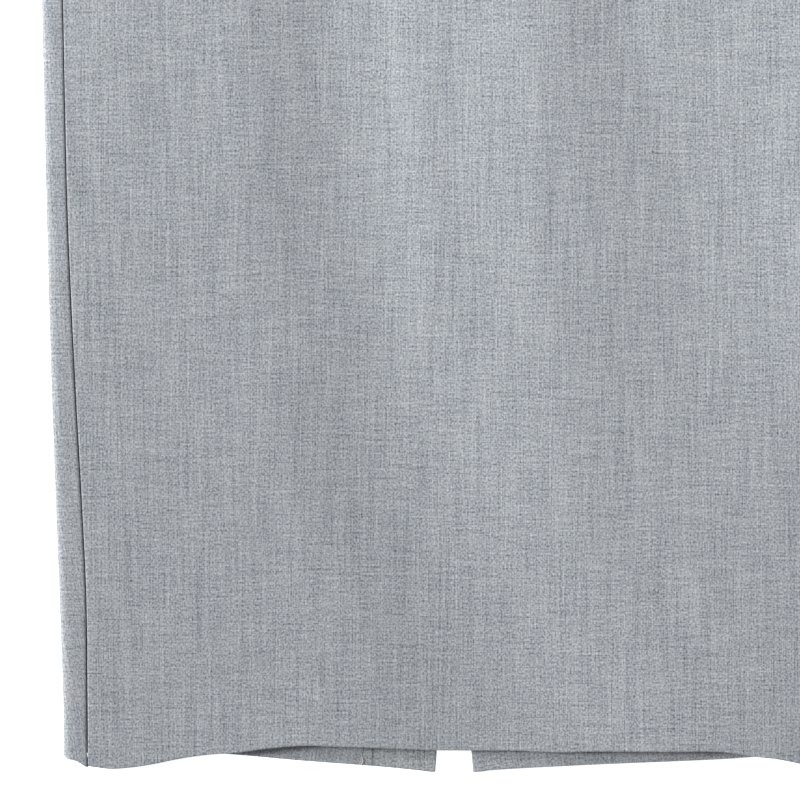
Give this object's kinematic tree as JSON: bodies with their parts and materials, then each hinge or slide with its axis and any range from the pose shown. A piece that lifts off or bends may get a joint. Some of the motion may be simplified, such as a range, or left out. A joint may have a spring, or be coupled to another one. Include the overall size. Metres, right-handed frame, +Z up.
{
  "type": "pencil skirt",
  "caption": "Knee-length wool pencil skirt laid flat, front up, with a waistband, front darts, side seams wrapped to the front, a zip in the side seam and an open slit at the centre back hem.",
  "frame": {"origin": "middle of the skirt's bounding box, on the surface that the skirt lies on", "axes": "+Y from the hem to the waist, +X to the wearer's left, +Z up out of the skirt's front"},
  "size_m": [0.466, 0.6578, 0.0152],
  "materials": {
    "cloth": "light grey melange plain-weave wool",
    "cloth_inside": "inside of the same wool",
    "zip_tape": "woven polyester tape",
    "zip_metal": "satin"
  },
  "bodies": {
    "skirt": {"front_panel": "cloth", "back_panel_left": "cloth", "back_panel_right": "cloth", "slit_facing": "cloth_inside", "waistband_front": "cloth", "waistband_back": "cloth", "zip_tape_front": "zip_tape", "zip_tape_back": "zip_tape", "zip_slider": "zip_metal"},
    "pull": {"zip_pull": "zip_metal"}
  },
  "joints": [
    {"name": "pull_swing", "type": "hinge", "parent": "skirt", "child": "pull", "pos_m": [0.17045, 0.3199, 0.01375], "axis": [-0.9446, -0.3282, 0], "range_deg": [0, 165]}
  ]
}
